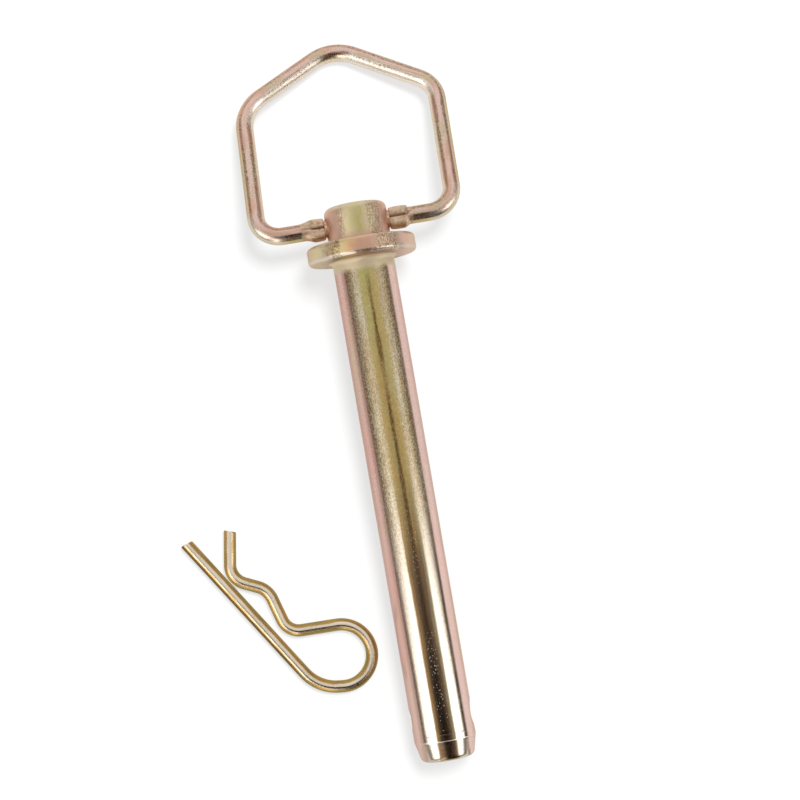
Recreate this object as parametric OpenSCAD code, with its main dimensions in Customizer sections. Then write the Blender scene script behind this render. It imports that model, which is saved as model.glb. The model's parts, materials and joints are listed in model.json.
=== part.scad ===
// Swivel hitch pin: a collared pin with a swinging wire handle, and the hairpin clip that locks it.
// The set lies on a flat surface, the plane z = 0, with +Y towards the handle.

/* [Pin] */
// Diameter of the shank
shank_d = 19.05; // [15:0.05:26]
// Length of the shank, from the collar's seat to the tip
shank_len = 154.5; // [100:0.5:220]
// Diameter of the collar
collar_d = 33.6; // [30:0.5:44]
// Thickness of the collar
collar_t = 5.5; // [4:0.1:8]
// Radius of the collar's two rounded edges
collar_round = 1.2; // [0.5:0.1:1.8]
// Radius of the fillet between the shank and the collar's seat
seat_fillet = 1.6; // [0.5:0.1:1.8]
// Diameter of the head above the collar
head_d = 19.4; // [16:0.1:25]
// Height of the head above the collar
head_h = 11.4; // [10:0.1:18]
// Radius of the head's rounded top edge
head_round = 2.2; // [0.5:0.1:2.6]

/* [Tip] */
// Length of the tapered lead at the tip
lead_len = 6.2; // [2:0.1:8]
// Slope of the lead against the shank's axis, in degrees
lead_angle = 13; // [5:0.5:20]
// Radius of the rounded edge of the tip
tip_round = 1.6; // [0.4:0.1:2]

/* [Clip hole] */
// Distance of the clip hole's axis from the end of the tip
clip_hole_from_tip = 12.8; // [12:0.1:25]
// How much wider the clip hole is than the clip's wire
clip_hole_play = 1.2; // [0.4:0.1:2]
// Width along the shank of the countersinks, on the left and on the right
clip_hole_mouths = [6.8, 8.8]; // [6.5:0.1:10]

/* [Handle] */
// Diameter of the handle's wire
handle_wire = 5.4; // [4.4:0.1:6.4]
// Width of the handle between the middles of its side wires
handle_w = 61.2; // [52:0.1:80]
// Distance from the hinge to the handle's shoulders, before rounding: left, right
shoulder_h = [43.7, 44.8]; // [30:0.1:54]
// Distance from the hinge to the handle's peak, before rounding
peak_h = 61.8; // [56:0.1:85]
// How far the hand-bent loop leans to the right, in degrees
handle_lean = 2.2; // [0:0.1:4]
// Bend radii at the wire's middle: left foot, left shoulder, peak, right shoulder, right foot
handle_bends = [7.1, 12.5, 13, 9.1, 8.1]; // [4:0.1:14]
// Height of the hinge above the collar
hinge_above_collar = 5.5; // [4.4:0.1:8]
// How much wider the hinge hole is than the handle's wire
hinge_play = 0.2; // [0.05:0.05:0.2]
// Gap between the two ends of the wire inside the head
wire_end_gap = 1.5; // [0.5:0.1:4]

/* [Staked ears] */
// Length of each flattened ear along the wire
ear_len = 6.2; // [4:0.1:8]
// Width of each ear in the plane of the loop
ear_w = 6.8; // [6.5:0.1:8]
// Thickness of each ear across the plane of the loop
ear_t = 4.2; // [3.4:0.1:4.3]
// Gap between each ear and the head
ear_gap = 0.35; // [0.2:0.05:1]
// Depth of the chisel mark along each face of an ear
chisel_depth = 0.7; // [0.3:0.1:1]
// Length over which the ears run out into the wire, on the left and on the right
ear_runouts = [2.2, 0.6]; // [0.4:0.1:3]

/* [Clip] */
// Diameter of the clip's wire
clip_wire = 3.8; // [3:0.1:4.4]
// Length of the clip's straight leg, up to the bend of its eye
clip_leg = 54.4; // [50:0.1:70]
// Radius of the long bend that leads from the straight leg into the eye
clip_lead_bend = 13.2; // [10:0.1:18]
// Turn of that long bend, in degrees
clip_lead_turn = 51; // [30:1:60]
// Radius of the eye at the wire's middle
clip_eye = 9.5; // [8:0.1:12]
// Slopes of the bent leg against the straight one: out of the eye, up to the hump, to the pinch, tail
clip_slopes = [56, 17, 32, 42]; // [10:1:65]
// Straight lengths of the bent leg: up to the hump, down to the pinch, tail
clip_runs = [7.2, 4.3, 10.6]; // [2:0.1:14]
// Bend radii of the bent leg at the wire's middle: valley, hump, pinch
clip_bends = [5.6, 7, 6.1]; // [4:0.1:9]
// Gap between the straight leg and the pinched bend
clip_pinch_gap = 0.25; // [0.2:0.05:1]
// Where the straight leg's cut end lies, sideways from the pin's axis
clip_x = -68.5; // [-160:0.5:-64]
// Where the straight leg's cut end lies, along the pin from its seat
clip_y = -76.2; // [-100:0.1:0]
// Turn of the straight leg from the pin's direction, in degrees
clip_turn = 33; // [20:0.5:45]

/* [Hidden] */
$fn = 96;
over = 1; // how far a cut runs past the face that it opens
ear_shoulder = 0.1; // how far an end of an ear stands proud of the round wire

shank_r = shank_d / 2;
collar_r = collar_d / 2;
head_r = head_d / 2;
head_top = collar_t + head_h;
hinge_z = collar_t + hinge_above_collar;
clip_hole_r = (clip_wire + clip_hole_play) / 2;
handle_r = handle_wire / 2;
clip_r = clip_wire / 2;

// The lead is a cone that ends in a small radius, which touches the cone and the end face.
lead_z = lead_len - shank_len;
tip_r = shank_r - lead_len * tan(lead_angle);
tip_centre = [tip_r - tip_round * (1 - sin(lead_angle)) / cos(lead_angle), tip_round - shank_len];

// The pin lies on the rim of its collar and on the edge where its lead starts.
rim_drop = collar_r - collar_round - shank_r;
rim_run = collar_round - lead_z;
pin_tilt = atan(rim_drop / rim_run) + asin(collar_round / norm([rim_drop, rim_run]));
seat_height = shank_r * cos(pin_tilt) - lead_z * sin(pin_tilt);

// The loop of the handle, in its own plane: the hinge is along X, and the loop stands towards +Y.
function lean_over(p) = [
    p[0] * cos(handle_lean) + p[1] * sin(handle_lean),
    p[1] * cos(handle_lean) - p[0] * sin(handle_lean)
];
function foot_below(p) = [p[0] - p[1] * tan(handle_lean), 0];
left_shoulder = lean_over([-handle_w / 2, shoulder_h[0]]);
right_shoulder = lean_over([handle_w / 2, shoulder_h[1]]);
peak = lean_over([0, peak_h]);
loop_points = [
    [-wire_end_gap / 2, 0],
    foot_below(left_shoulder),
    left_shoulder,
    peak,
    right_shoulder,
    foot_below(right_shoulder),
    [wire_end_gap / 2, 0]
];
ear_start = head_r + ear_gap;
ear_end = ear_start + ear_len;

// The middle of the bend that rounds the corner at point i with the radius r.
function bend_middle(p, i, r) =
    let (
        a = (p[i - 1] - p[i]) / norm(p[i - 1] - p[i]),
        b = (p[i + 1] - p[i]) / norm(p[i + 1] - p[i])
    ) p[i] + (a + b) / norm(a + b) * r / sqrt((1 - a * b) / 2);

// The handle droops from its hinge until the outside of its peak meets the surface.
peak_reach = bend_middle(loop_points, 3, handle_bends[2])[1] + handle_bends[2];
hinge_height = seat_height + hinge_z * sin(pin_tilt);
handle_droop = asin((hinge_height - handle_r) / peak_reach);

// The origin is on the surface, at the middle of the whole set's footprint.
loop_right = bend_middle(loop_points, 4, handle_bends[3])[0] + handle_bends[3] + handle_r;
clip_left = clip_x - clip_r * cos(clip_turn);
handle_top = hinge_z * cos(pin_tilt) + peak_reach * cos(handle_droop) + handle_r;
tip_bottom = tip_centre[1] * cos(pin_tilt) - tip_centre[0] * sin(pin_tilt) - tip_round;
middle = [(clip_left + loop_right) / 2, (tip_bottom + handle_top) / 2];

// The clip's bending steps. The headings count from the straight leg, which runs along X.
eye_run = 1.4; // the straight between the long bend and the eye
out_of_eye = 180 + clip_slopes[0];
up_to_hump = 180 - clip_slopes[1];
down_to_pinch = 180 + clip_slopes[2];
into_tail = 180 - clip_slopes[3];
pinch_y = clip_wire + clip_pinch_gap;
eye_exit_y = clip_lead_bend * (1 - cos(clip_lead_turn)) + eye_run * sin(clip_lead_turn)
    + clip_eye * (cos(clip_lead_turn) - cos(out_of_eye));
drop = eye_exit_y - pinch_y
    + clip_bends[0] * (cos(up_to_hump) - cos(out_of_eye)) + clip_runs[0] * sin(up_to_hump)
    - clip_bends[1] * (cos(down_to_pinch) - cos(up_to_hump)) + clip_runs[1] * sin(down_to_pinch)
    + clip_bends[2] * (-1 - cos(down_to_pinch));
clip_steps = [
    [clip_leg, clip_lead_bend, clip_lead_turn],
    [eye_run, clip_eye, out_of_eye - clip_lead_turn],
    [drop / sin(clip_slopes[0]), clip_bends[0], up_to_hump - out_of_eye],
    [clip_runs[0], clip_bends[1], down_to_pinch - up_to_hump],
    [clip_runs[1], clip_bends[2], into_tail - down_to_pinch],
    [clip_runs[2], 0, 0]
];

// A bent wire is a list of bending steps: the straight length, then the radius and the turn of the bend
// after it. A positive turn goes to the left, and the last turn is 0.
nip_swell = 0.02; // how far the wire stands proud where the former's jaws nip it, at a bend's ends
nip_half = 0.1;   // how far each straight stays off the ends of the bends, inside the nipped places

// The steps of a wire that runs along the points p, with the radii r at the inner points.
function turn_at(p, i) =
    let (a = p[i] - p[i - 1], b = p[i + 1] - p[i]) atan2(a[0] * b[1] - a[1] * b[0], a * b);
function bend_cut(p, r, i) = i == 0 || i == len(p) - 1 ? 0 : r[i - 1] * tan(abs(turn_at(p, i)) / 2);
function steps_along(p, r) = [
    for (i = [0 : len(p) - 2]) [
        norm(p[i + 1] - p[i]) - bend_cut(p, r, i) - bend_cut(p, r, i + 1),
        i < len(r) ? r[i] : 0,
        i < len(r) ? turn_at(p, i + 1) : 0
    ]
];

// Where step i starts and its heading, as [x, y, angle], if step 0 starts at the origin along X.
function step_start(steps, i) = i == 0 ? [0, 0, 0] :
    let (
        before = step_start(steps, i - 1),
        step = steps[i - 1],
        side = step[2] > 0 ? 1 : -1,
        ahead = step[0] + step[1] * sin(abs(step[2])),
        aside = side * step[1] * (1 - cos(step[2]))
    ) [
        before[0] + ahead * cos(before[2]) - aside * sin(before[2]),
        before[1] + ahead * sin(before[2]) + aside * cos(before[2]),
        before[2] + step[2]
    ];

module bent_wire(steps, d) {
    for (i = [0 : len(steps) - 1]) {
        at = step_start(steps, i);
        from = i == 0 ? 0 : nip_half;
        to = steps[i][0] - (steps[i][2] == 0 ? 0 : nip_half);
        translate([at[0], at[1], 0]) rotate(at[2]) {
            translate([from, 0, 0]) rotate([0, 90, 0]) cylinder(d = d, h = to - from);
            if (i > 0)
                rotate([0, 90, 0]) sphere(d / 2 + nip_swell);
            if (steps[i][2] != 0)
                translate([steps[i][0], 0, 0]) {
                    rotate([0, 90, 0]) sphere(d / 2 + nip_swell);
                    bend(steps[i][2], steps[i][1], d);
                }
        }
    }
}

// A bend of the wire that starts at the origin towards +X.
module bend(turn, r, d) {
    translate([0, turn > 0 ? r : -r, 0]) rotate(turn > 0 ? -90 : 90 + turn)
        rotate_extrude(angle = abs(turn)) translate([r, 0]) circle(d = d);
}

// One step of the turned section, with rounded edges. The pin's axis is Y here, and its seat is at 0.
module round_step(r, y0, y1, low, high) {
    translate([0, y0 + low]) square([r, y1 - y0 - low - high]);
    if (low > 0) {
        translate([0, y0]) square([r - low, low]);
        translate([r - low, y0 + low]) circle(low);
    }
    translate([0, y1 - high]) square([r - high, high]);
    translate([r - high, y1 - high]) circle(high);
}

module pin_section() {
    round_step(collar_r, 0, collar_t, collar_round, collar_round);
    round_step(head_r, collar_t, head_top, 0, head_round);
    translate([0, lead_z]) square([shank_r, -lead_z]);
    polygon([
        [0, -shank_len],
        [tip_centre[0], -shank_len],
        tip_centre + tip_round * [cos(lead_angle), -sin(lead_angle)],
        [shank_r, lead_z],
        [0, lead_z]
    ]);
    translate(tip_centre) circle(tip_round);
    difference() {
        translate([0, -seat_fillet]) square([shank_r + seat_fillet, seat_fillet]);
        translate([shank_r + seat_fillet, -seat_fillet]) circle(seat_fillet);
    }
}

// The cross hole for the clip, countersunk on the left and on the right.
module clip_hole() {
    rotate([0, 90, 0]) cylinder(r = clip_hole_r, h = shank_d, center = true);
    for (side = [0, 1]) {
        mouth_r = clip_hole_mouths[side] / 2;
        sink = mouth_r - clip_hole_r;
        mirror([1 - side, 0, 0]) translate([shank_r - sink, 0, 0]) rotate([0, 90, 0])
            cylinder(r1 = clip_hole_r, r2 = mouth_r + over, h = sink + over);
    }
}

// Lays down what is drawn upright on the seat, with the head up.
module as_the_pin_lies() {
    translate([-middle[0], -middle[1], seat_height]) rotate([pin_tilt - 90, 0, 0]) children();
}

// Hangs the loop, which is drawn flat, in its hinge.
module as_the_handle_hangs() {
    translate([-middle[0], hinge_z * cos(pin_tilt) - middle[1], hinge_height])
        rotate([-handle_droop, 0, 0]) children();
}

module pin() {
    color([0.72, 0.63, 0.45]) as_the_pin_lies() difference() {
        rotate_extrude() pin_section();
        translate([0, 0, hinge_z]) rotate([0, 90, 0])
            cylinder(d = handle_wire + hinge_play, h = head_d + 2 * over, center = true);
        translate([0, 0, lead_z - lead_len + clip_hole_from_tip]) clip_hole();
    }
}

// Draws its children on the right of the head, and mirrored on the left.
module on_side(side) {
    mirror([1 - side, 0, 0]) children();
}

// What the staking press takes off the round wire: both faces, with a ramp out to the full wire.
module pressed_off(runout) {
    ramp = over * runout / (handle_r - ear_t / 2);
    for (face = [0, 1]) mirror([0, 0, face])
        rotate([90, 0, 0]) linear_extrude(ear_w, center = true) polygon([
            [ear_start, ear_t / 2],
            [ear_end, ear_t / 2],
            [ear_end + runout + ramp, handle_r + over],
            [ear_start, handle_r + over]
        ]);
}

// The ear that the pressed wire swells into: flat on both faces, round at its sides and bulged in plan.
module ear() {
    bulge = (ear_w - handle_wire) / 2 - ear_shoulder;
    bulge_r = (ear_len * ear_len / 4 + bulge * bulge) / (2 * bulge);
    translate([ear_start, 0, 0]) intersection() {
        rotate([90, 0, 90]) linear_extrude(ear_len) {
            square([ear_w - ear_t, ear_t], center = true);
            for (side = [-1, 1]) translate([side * (ear_w - ear_t) / 2, 0]) circle(d = ear_t);
        }
        linear_extrude(ear_t + 2 * over, center = true) intersection_for(side = [-1, 1])
            translate([ear_len / 2, side * (bulge_r - ear_w / 2)]) circle(bulge_r);
    }
}

// The V that the chisel leaves along both faces of an ear.
module chisel_marks() {
    for (face = [0, 1]) mirror([0, 0, face]) translate([ear_start, 0, ear_t / 2])
        rotate([90, 0, 90]) linear_extrude(ear_len)
            polygon([[0, -chisel_depth], [chisel_depth + over, over], [-chisel_depth - over, over]]);
}

module handle() {
    color([0.74, 0.62, 0.52]) as_the_handle_hangs() difference() {
        union() {
            difference() {
                translate(loop_points[0]) rotate(180)
                    bent_wire(steps_along(loop_points, handle_bends), handle_wire);
                for (side = [0, 1]) on_side(side) pressed_off(ear_runouts[side]);
            }
            for (side = [0, 1]) on_side(side) ear();
        }
        for (side = [0, 1]) on_side(side) chisel_marks();
    }
}

module hairpin_clip() {
    color([0.78, 0.62, 0.34]) translate([clip_x - middle[0], clip_y - middle[1], clip_r + nip_swell])
        rotate(clip_turn - 90) bent_wire(clip_steps, clip_wire);
}

pin();
handle();
hairpin_clip();
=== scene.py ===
"""Looks of the swivel hitch pin: the turned pin, its swinging wire handle and the loose hairpin clip."""
import json
import math
from types import SimpleNamespace

import bmesh
import bpy
from mathutils import Matrix, Vector, noise


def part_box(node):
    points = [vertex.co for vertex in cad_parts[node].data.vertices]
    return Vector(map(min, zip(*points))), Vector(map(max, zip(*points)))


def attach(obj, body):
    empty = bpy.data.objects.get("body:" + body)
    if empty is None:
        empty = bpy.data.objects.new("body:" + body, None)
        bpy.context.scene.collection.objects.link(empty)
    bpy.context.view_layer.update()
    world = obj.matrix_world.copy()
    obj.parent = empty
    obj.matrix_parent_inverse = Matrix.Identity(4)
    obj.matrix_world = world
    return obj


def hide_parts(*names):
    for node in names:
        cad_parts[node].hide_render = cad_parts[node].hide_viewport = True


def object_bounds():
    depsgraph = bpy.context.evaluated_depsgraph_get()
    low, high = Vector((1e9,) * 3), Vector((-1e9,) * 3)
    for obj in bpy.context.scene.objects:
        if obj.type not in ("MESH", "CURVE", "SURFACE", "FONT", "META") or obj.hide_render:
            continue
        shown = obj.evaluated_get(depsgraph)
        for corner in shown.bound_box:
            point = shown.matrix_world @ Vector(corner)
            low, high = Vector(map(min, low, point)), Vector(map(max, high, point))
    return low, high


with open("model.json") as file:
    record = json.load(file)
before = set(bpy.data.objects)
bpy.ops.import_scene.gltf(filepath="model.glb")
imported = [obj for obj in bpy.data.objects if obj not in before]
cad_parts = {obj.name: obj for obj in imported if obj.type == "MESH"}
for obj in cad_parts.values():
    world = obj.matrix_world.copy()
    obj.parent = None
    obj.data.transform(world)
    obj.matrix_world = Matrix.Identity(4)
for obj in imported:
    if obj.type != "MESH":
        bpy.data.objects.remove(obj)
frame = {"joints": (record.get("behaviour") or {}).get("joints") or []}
cad_low, cad_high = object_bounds()
MM = 0.001

# ---------------------------------------------------------------- sizes, in millimetres
shank_r = 9.525
shank_len = 154.5
collar_r = 16.8
collar_t = 5.5
collar_round = 1.2
seat_fillet = 1.6
head_r = 9.7
head_h = 11.4
head_round = 2.2
head_foot_round = 0.4
lead_len = 6.2
lead_angle = math.radians(13)
lead_blend_r = 1.5
tip_round = 1.6
tip_dome = 0.12
tip_shy = 0.004
clip_hole_r = 2.5
clip_hole_mouths = (3.4, 4.4)
clip_hole_from_tip = 12.8
hinge_above_collar = 5.5
hinge_hole_r = 2.8
handle_wire_r = 2.7
handle_w = 61.2
shoulder_h = (43.7, 44.8)
peak_h = 61.8
handle_lean = math.radians(2.2)
handle_bends = (7.1, 12.5, 13, 9.1, 8.1)
wire_end_gap = 1.5
ear_len = 6.2
ear_half_w = 3.4
ear_half_t = 2.1
ear_gap = 0.35
ear_end_round = 0.5
crease_depth = 0.5
crease_half_w = 0.26
clip_r = 1.9
clip_leg = 54.4
clip_lead_bend = 13.2
clip_lead_turn = 51
clip_eye = 9.5
clip_eye_run = 1.4
clip_slopes = (56, 17, 32, 42)
clip_runs = (7.2, 4.3, 10.6)
clip_bends = (5.6, 7, 6.1)
clip_pinch_gap = 0.25
clip_turn = math.radians(33)
clip_end_round = 0.35
clip_end_thinner = 0.07
clip_skews = (0.45, 0.33)
clip_skew_run = 5

# Faults of the turned bar, all of them inward: slow waves, fine ripples, and one line left by the tool.
wave_depth = 0.03
ripple_depth = 0.008
tool_line_depth = 0.025
tool_line_half_w = 0.2
tool_line_above_lead = 2.2
true_face_r = shank_r - 2.6

# How closely the meshes follow the shapes: degrees for each step of a bend, counts of points, and the
# angle from which an edge stays sharp.
bend_step = 4
face_rings = 9
cutter_around = 96
pin_around = 224
handle_around = 112
clip_around = 56
pin_sharp = math.radians(32)
wire_sharp = math.radians(40)


# ---------------------------------------------------------------- where the parts lie
def joint_point(name):
    """The point of a joint, in millimetres."""
    return Vector(next(j for j in frame["joints"] if j["name"] == name)["pos_m"]) / MM


head_top = collar_t + head_h
lead_z = lead_len - shank_len
hinge_z = collar_t + hinge_above_collar
tip_r = shank_r - lead_len * math.tan(lead_angle)
tip_centre_r = tip_r - tip_round * (1 - math.sin(lead_angle)) / math.cos(lead_angle)
rim_drop = collar_r - collar_round - shank_r
rim_run = collar_round - lead_z
pin_tilt = math.atan2(rim_drop, rim_run) + math.asin(collar_round / math.hypot(rim_drop, rim_run))
hinge = joint_point("handle_swing")

# From upright on the collar's seat, with the head up, to lying on the surface.
pin_lies = (
    Matrix.Translation(hinge)
    @ Matrix.Rotation(pin_tilt - math.pi / 2, 4, "X")
    @ Matrix.Translation((0, 0, -hinge_z))
)


# ---------------------------------------------------------------- meshes
def new_piece(name, vertices, faces, place=None):
    """A piece from vertices in millimetres, moved by place, with its faces shaded smooth."""
    moved = [((place @ Vector(v)) if place else Vector(v)) * MM for v in vertices]
    mesh = bpy.data.meshes.new(name)
    mesh.from_pydata(moved, [], faces)
    mesh.validate()
    piece = bpy.data.objects.new(name, mesh)
    bpy.context.scene.collection.objects.link(piece)
    mesh.shade_smooth()
    return piece


def outward(piece):
    """Turns all faces of a closed piece outward."""
    sculpt = bmesh.new()
    sculpt.from_mesh(piece.data)
    bmesh.ops.recalc_face_normals(sculpt, faces=sculpt.faces)
    sculpt.to_mesh(piece.data)
    sculpt.free()


def tube_faces(first, rings, around):
    """The faces between neighbouring rings of vertices, from the vertex numbered first."""
    faces = []
    for i in range(rings - 1):
        low = first + i * around
        high = low + around
        for k in range(around):
            step = (k + 1) % around
            faces.append((low + k, low + step, high + step, high + k))
    return faces


def lathe(profile, around, wobble):
    """Turns a profile of (radius, height) points, from one end of the axis to the other."""
    vertices = [(0, 0, profile[0][1])]
    for radius, height in profile[1:-1]:
        for k in range(around):
            angle = 2 * math.pi * k / around
            r = radius - wobble(radius, angle, height)
            vertices.append((r * math.cos(angle), r * math.sin(angle), height))
    vertices.append((0, 0, profile[-1][1]))
    rings = len(profile) - 2
    last = len(vertices) - 1
    top = 1 + (rings - 1) * around
    faces = [(0, 1 + (k + 1) % around, 1 + k) for k in range(around)]
    faces += tube_faces(1, rings, around)
    faces += [(top + k, top + (k + 1) % around, last) for k in range(around)]
    return vertices, faces


def line_points(start, end, spacing):
    """Points from start up to, but not with, end."""
    count = max(1, round(math.dist(start, end) / spacing))
    return [
        (start[0] + (end[0] - start[0]) * i / count, start[1] + (end[1] - start[1]) * i / count)
        for i in range(count)
    ]


def arc_points(centre, radius, first, last, count):
    """Points on an arc between two angles in degrees, with both ends."""
    return [
        (
            centre[0] + radius * math.cos(math.radians(first + (last - first) * i / count)),
            centre[1] + radius * math.sin(math.radians(first + (last - first) * i / count)),
        )
        for i in range(count + 1)
    ]


def smooth(x, low, high):
    """0 below low, 1 above high, eased between."""
    t = min(1, max(0, (x - low) / (high - low)))
    return t * t * (3 - 2 * t)


# A wire is followed in samples, each one (place, heading, length so far).
def run_samples(at, ahead, run, length, spacing):
    """Samples on a straight run, up to but not with its end."""
    count = max(1, round(run / spacing))
    return [(at + ahead * run * k / count, ahead, length + run * k / count) for k in range(count)]


def bend_samples(at, ahead, left, radius, turn, length):
    """Samples around a bend of turn degrees, with its end."""
    side = Vector((-ahead.y, ahead.x)) * (1 if left else -1)
    centre = at + side * radius
    count = max(2, round(turn / bend_step))
    samples = []
    for k in range(count + 1):
        angle = math.radians(turn) * k / count
        place = centre - side * radius * math.cos(angle) + ahead * radius * math.sin(angle)
        heading = ahead * math.cos(angle) + side * math.sin(angle)
        samples.append((place, heading, length + radius * angle))
    return samples


def walk(points, radii, spacing=0.9):
    """Samples of a wire along points whose corners are rounded by radii."""
    samples = []
    length = 0
    at = Vector(points[0])
    for before, corner, after, radius in zip(points, points[1:], points[2:], radii):
        back = (Vector(before) - Vector(corner)).normalized()
        onward = (Vector(after) - Vector(corner)).normalized()
        half = math.acos(max(-1, min(1, back.dot(onward)))) / 2
        trim = radius / math.tan(half)
        end = Vector(corner) + back * trim
        run = (end - at).length
        ahead = (end - at).normalized()
        samples += run_samples(at, ahead, run, length, spacing)
        length += run
        left = ahead.x * onward.y - ahead.y * onward.x > 0
        turn = math.pi - 2 * half
        samples += bend_samples(end, ahead, left, radius, math.degrees(turn), length)[:-1]
        length += radius * turn
        at = Vector(corner) + onward * trim
    end = Vector(points[-1])
    run = (end - at).length
    ahead = (end - at).normalized()
    samples += run_samples(at, ahead, run, length, spacing)
    samples.append((end, ahead, length + run))
    return samples


def finer(samples, where, spacing):
    """Adds samples between those whose places pass where."""
    out = []
    for one, two in zip(samples, samples[1:]):
        out.append(one)
        gap = two[2] - one[2]
        if where(one[0]) or where(two[0]):
            count = max(1, round(gap / spacing))
            for k in range(1, count):
                t = k / count
                out.append((one[0].lerp(two[0], t), one[1], one[2] + gap * t))
    out.append(samples[-1])
    return out


def sweep(samples, section, around, cropped=None):
    """A tube along samples that lie in a plane.

    section(length, angle, place) gives how far aside and how far up a point of the ring lies.
    cropped(length, aside) moves it along the wire, for ends that are not cut square. Returns the
    vertices, the faces, and each vertex's place on the straight stock: aside, up, length.
    """
    vertices = []
    stock = []
    for place, heading, length in samples:
        aside = Vector((-heading.y, heading.x))
        for k in range(around):
            angle = 2 * math.pi * k / around
            u, v = section(length, angle, place)
            slip = cropped(length, u) if cropped else 0
            point = place + aside * u + heading * slip
            vertices.append((point.x, point.y, v))
            stock.append((u * MM, v * MM, length * MM))
    faces = tube_faces(0, len(samples), around)
    for ring, (place, heading, length) in ((0, samples[0]), (len(samples) - 1, samples[-1])):
        middle = place + heading * (cropped(length, 0) if cropped else 0)
        vertices.append((middle.x, middle.y, 0))
        stock.append((0, 0, length * MM))
        centre = len(vertices) - 1
        base = ring * around
        faces += [(base + k, base + (k + 1) % around, centre) for k in range(around)]
    return vertices, faces, stock


def wire_piece(name, swept, place):
    """A piece from a sweep. Each vertex keeps its place on the straight stock, for the finish."""
    vertices, faces, stock = swept
    piece = new_piece(name, vertices, faces, place)
    mark = piece.data.attributes.new("stock", "FLOAT_VECTOR", "POINT")
    mark.data.foreach_set("vector", [x for point in stock for x in point])
    outward(piece)
    piece.data.set_sharp_from_angle(angle=wire_sharp)
    return piece


# ---------------------------------------------------------------- the pin
def pin_profile():
    """The turned outline: (radius, height) from the middle of the tip to the middle of the head's top."""
    lead_degrees = math.degrees(lead_angle)
    tip_z = tip_shy - shank_len
    points = [(0, tip_z)]
    for i in range(1, face_rings):
        share = i / face_rings
        points.append((tip_centre_r * share, tip_z + tip_dome * share**3))
    points += arc_points((tip_centre_r, tip_z + tip_round), tip_round, -86, -lead_degrees, count=12)
    # The lead runs into the shank over a soft shoulder. Its points are close, and those that take the
    # tool line above it are closer still.
    points += line_points(points[-1], (shank_r - 0.1, lead_z - 0.4), spacing=0.5)[1:]
    shoulder = (shank_r - lead_blend_r, lead_z + 0.15)
    points += arc_points(shoulder, lead_blend_r, -lead_degrees, 0, count=4)
    line_end = (shank_r, lead_z + 3.3)
    points += line_points((shank_r, lead_z + 0.3), line_end, spacing=0.15)
    points += line_points(line_end, (shank_r, -seat_fillet), spacing=1.15)
    # The collar, from its seat around the rim.
    rim_r = collar_r - collar_round
    points += arc_points((shank_r + seat_fillet, -seat_fillet), seat_fillet, 180, 90, count=10)
    points += line_points((shank_r + seat_fillet + 0.2, 0), (rim_r, 0), spacing=0.5)
    points += arc_points((rim_r, collar_round), collar_round, -90, 0, count=10)
    points += line_points((collar_r, collar_round + 0.4), (collar_r, collar_t - collar_round), spacing=0.4)
    points += arc_points((rim_r, collar_t - collar_round), collar_round, 0, 90, count=10)
    # The head.
    foot = (head_r + head_foot_round, collar_t + head_foot_round)
    points += line_points((rim_r - 0.4, collar_t), (foot[0] + 0.1, collar_t), spacing=0.5)
    points += arc_points(foot, head_foot_round, -90, -180, count=5)
    points += line_points((head_r, foot[1] + head_foot_round), (head_r, head_top - head_round), spacing=0.6)
    points += arc_points((head_r - head_round, head_top - head_round), head_round, 0, 88, count=14)
    for i in range(face_rings - 1, 0, -1):
        points.append(((head_r - head_round) * i / face_rings, head_top))
    points.append((0, head_top))
    return points


def pin_wobble(radius, angle, height):
    """How far the surface lies inside the true outline. The end faces are true."""
    if radius < true_face_r:
        return 0
    spot = Vector((math.cos(angle) * 1.1, math.sin(angle) * 1.1, height / 16))
    waves = noise.noise(spot) * 0.5 + 0.5
    ripples = noise.noise(Vector((spot.x * 3, spot.y * 3, height / 6 + 7))) * 0.5 + 0.5
    fault = wave_depth * waves + ripple_depth * ripples
    if height < lead_z + 4:
        off_line = (height - lead_z - tool_line_above_lead) / tool_line_half_w
        fault += tool_line_depth * math.exp(-(off_line**2))
    return fault


def cutter(name, rings, place):
    """A round cutter along its own z: rings of (radius, height)."""
    profile = [(0, rings[0][1])] + rings + [(0, rings[-1][1])]
    vertices, faces = lathe(profile, cutter_around, lambda radius, angle, height: 0)
    tool = new_piece(name, vertices, faces, place)
    outward(tool)
    return tool


def cut(piece, tools):
    """Cuts the tools out of the piece and removes them."""
    for tool in tools:
        step = piece.modifiers.new(tool.name, "BOOLEAN")
        step.operation = "DIFFERENCE"
        step.solver = "EXACT"
        step.object = tool
    bpy.context.view_layer.update()
    shaped = bpy.data.meshes.new_from_object(piece.evaluated_get(bpy.context.evaluated_depsgraph_get()))
    piece.modifiers.clear()
    piece.data = shaped
    for tool in tools:
        bpy.data.objects.remove(tool)


def make_pin():
    """The turned bar with its two cross holes, the hinge hole and the countersunk clip hole."""
    vertices, faces = lathe(pin_profile(), pin_around, pin_wobble)
    piece = new_piece("turned_pin", vertices, faces, pin_lies)
    outward(piece)
    sideways = Matrix.Rotation(math.pi / 2, 4, "Y")
    hinge_hole = cutter(
        "hinge_hole",
        [(hinge_hole_r, -head_r - 2), (hinge_hole_r, head_r + 2)],
        pin_lies @ Matrix.Translation((0, 0, hinge_z)) @ sideways,
    )
    left, right = clip_hole_mouths
    clip_hole = cutter(
        "clip_hole",
        [
            (left + 1, -shank_r - 1),
            (clip_hole_r, -shank_r + left - clip_hole_r),
            (clip_hole_r, shank_r - right + clip_hole_r),
            (right + 1, shank_r + 1),
        ],
        pin_lies @ Matrix.Translation((0, 0, -shank_len + clip_hole_from_tip)) @ sideways,
    )
    cut(piece, [hinge_hole, clip_hole])
    piece.data.shade_smooth()
    piece.data.set_sharp_from_angle(angle=pin_sharp)
    return piece


# ---------------------------------------------------------------- the handle
def lean_over(x, y):
    """A point of the loop, which leans a little to one side."""
    c, s = math.cos(handle_lean), math.sin(handle_lean)
    return (x * c + y * s, y * c - x * s)


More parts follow.
